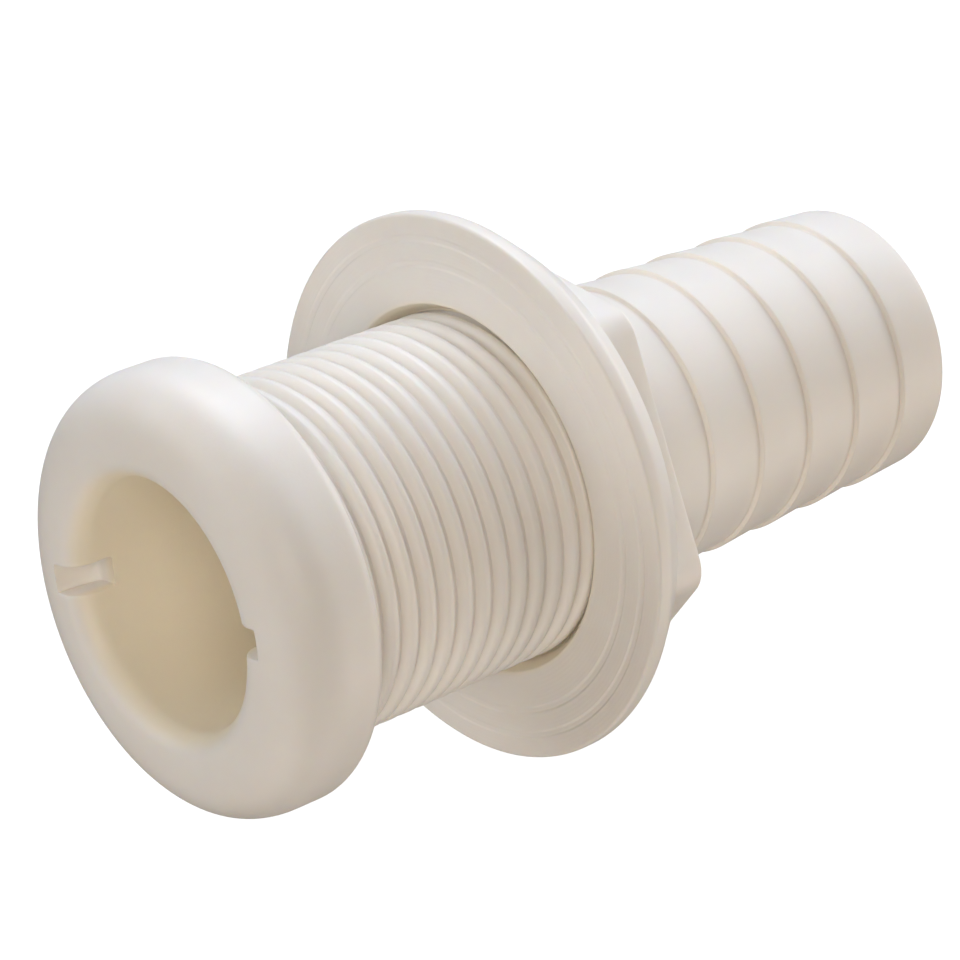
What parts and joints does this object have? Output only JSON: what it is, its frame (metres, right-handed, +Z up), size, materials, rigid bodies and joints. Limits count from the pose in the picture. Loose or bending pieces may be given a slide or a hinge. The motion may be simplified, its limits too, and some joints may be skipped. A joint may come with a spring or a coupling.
{
  "type": "thru hull fitting",
  "caption": "Moulded plastic thru hull fitting: mushroom head, threaded barrel and barbed hose tail, with a flanged hexagonal lock nut that screws along the barrel.",
  "frame": {"origin": "on the fitting's axis, in the plane of the mushroom head's flat bearing face", "axes": "+X along the fitting's axis from the head to the hose end; +Z up as the fitting lies on its side"},
  "size_m": [0.1238, 0.075, 0.075],
  "materials": {
    "body_plastic": "satin moulded nylon, ivory white",
    "nut_plastic": "satin moulded nylon, ivory white"
  },
  "bodies": {
    "fitting": {"mushroom_head": "body_plastic", "threaded_barrel": "body_plastic", "hose_tail": "body_plastic"},
    "nut_carriage": {"nut_flange": "nut_plastic"},
    "nut": {"nut_hex": "nut_plastic"}
  },
  "joints": [
    {"name": "nut_travel", "type": "slide", "parent": "fitting", "child": "nut_carriage", "axis": [1, 0, 0], "range_m": [-0.0346, 0.009]},
    {"name": "nut_turn", "type": "hinge", "parent": "nut_carriage", "child": "nut", "pos_m": [0.045, 0, 0], "axis": [1, 0, 0], "range_deg": [-4140, 1080]}
  ],
  "couplings": [
    {"joint": "nut_travel", "follows": "nut_turn", "m_per_rad": 0.00047746}
  ]
}
